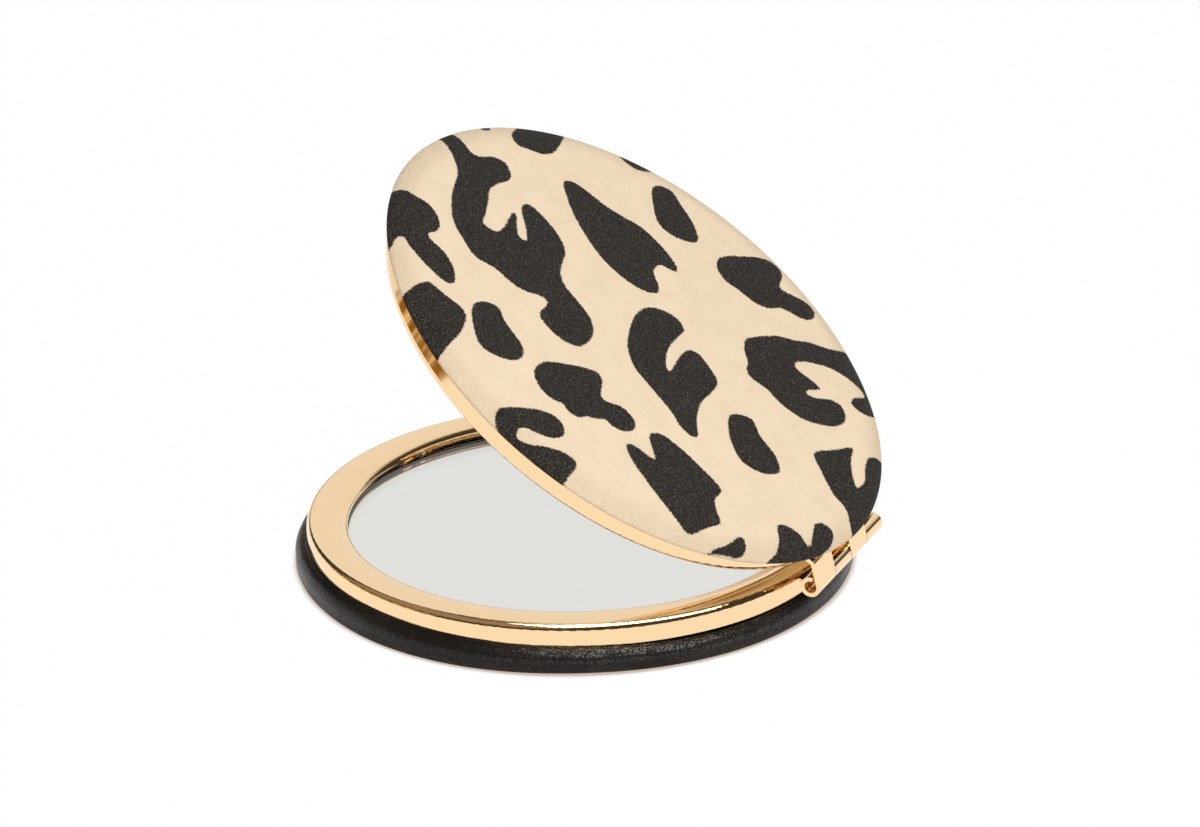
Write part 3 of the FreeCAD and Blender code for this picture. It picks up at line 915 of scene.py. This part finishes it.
wrinkled = around(wrinkle_stops, azimuths[rolled])
waves = unevenness(places[rolled], wave_size)
creases = unevenness(places[rolled], crease_size)
inner = np.clip((shares - ridge_start) / ridge_fade, 0, 1) * np.clip((1 - shares) / foot_fade, 0, 1)
ridges = np.sin(2 * math.pi * wrinkle_count * shares + wave_bend * waves) + crease_share * creases
height += wrinkled * inner * (wrinkle_height * ridges + wave_height * waves)
out += wave_out * waves * np.clip(shares / corner_fade, 0, 1)
radii[rolled] = wall_radius + np.maximum(out, roll_foot) * mm
heights[rolled] = np.maximum(height, 0) * mm

tucked = (step >= roll_end) & (heights > base_seat - board_room)
dip = np.minimum(around(climb_stops, azimuths[tucked]), 0) * mm
heights[tucked] += dip * np.clip((radii[tucked] - dip_start) / (seat_edge - dip_start), 0, 1)

for vert, radius, angle, z in zip(base_mesh.verts, radii, np.radians(azimuths), heights):
    vert.co = (radius * math.cos(angle), radius * math.sin(angle), z)
base_leather = finished(base_mesh, "base_leather", leather)
gathered = np.zeros(len(places))
gathered[rolled] = wrinkled * np.clip((shares - gathered_start) / gathered_fade, 0, 1)
store(base_leather, "gathered", gathered)
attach(base_leather, "base")
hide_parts("base_leather_cover", "base_padding")
print("base_leather:", len(base_leather.data.polygons), "faces")

# %% [markdown]
# In CAD the silvering only touches the back of its glass. A ray that goes into the glass would have to
# tell two faces at the same depth apart, and half of them would get lost between the two. A renderer is
# surer when the silver starts a hair inside the glass, so each silvering is spun again with its front
# that much higher.

# %% Mirrors: the silvering
silver_bite = 0.03 * mm
silver_turns = 96


def silver_disc(name, low, high):
    """A flat disc spun from its cross-section, from the low to the high corner of its box."""
    radius = high.x
    section = [(0, low.z), (radius, low.z), (radius, high.z), (0, high.z)]
    return finished(spun(section, silver_turns), name, silvering, smooth=False)


low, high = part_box("base_mirror_silvering")
base_silver = silver_disc("base_silver", low, high + Vector((0, 0, silver_bite)))
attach(base_silver, "base")
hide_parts("base_mirror_silvering")

low, high = shut_box("lid_mirror_silvering")
lid_silver = silver_disc("lid_silver", low - Vector((0, 0, silver_bite)), high)
lid_silver.data.transform(open_lid)
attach(lid_silver, "lid")
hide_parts("lid_mirror_silvering")
print("silvering reaches", silver_bite / mm, "mm into each glass")

# %% [markdown]
# The CAD pieces stay as they are and only change their material. What lies hidden inside gets a plain
# finish of its own kind too, because the model may be taken apart on screen.

# %% Finish of the CAD pieces
mottle_shade = 0.75


def plain_inside(name, colour, roughness, scale):
    """A dull finish with a fine mottle, for the pieces inside."""
    material, tree, shader = fresh_material(name)
    mottle = noise_node(tree, on_object(tree), scale, detail=3.0)
    darker = tuple(mottle_shade * channel for channel in colour)
    tone = mixed(tree, ramp_between(tree, mottle, 0.3, 0.7), darker, colour)
    feed(tree, shader, {"Base Color": tone, "Roughness": roughness})
    return material


inside = {
    "mirror_tape": plain_inside("foam_tape", (0.75, 0.75, 0.73), 0.9, 1500.0),
    "board": plain_inside("greyboard", (0.36, 0.33, 0.29), 0.85, 900.0),
    "bond_ring": plain_inside("amber_adhesive", (0.32, 0.20, 0.07), 0.25, 400.0),
    "magnet": plain_inside("nickel_magnet", (0.45, 0.45, 0.46), 0.3, 600.0),
}
outside = {"frame": gold, "hinge_leaf": gold, "mirror_glass": glass}


def dress(node, material):
    slots = nodes[node].data.materials
    if slots:
        slots[0] = material
    else:
        slots.append(material)


for half in ("base", "lid"):
    for piece, material in {**inside, **outside}.items():
        dress(f"{half}_{piece}", material)
# The pin gets the darker gold, whose colour is painted shade.
dress("hinge_pin", brushed_gold_painted_shade)
print("dressed", 2 * len(inside) + 2 * len(outside) + 1, "CAD pieces")
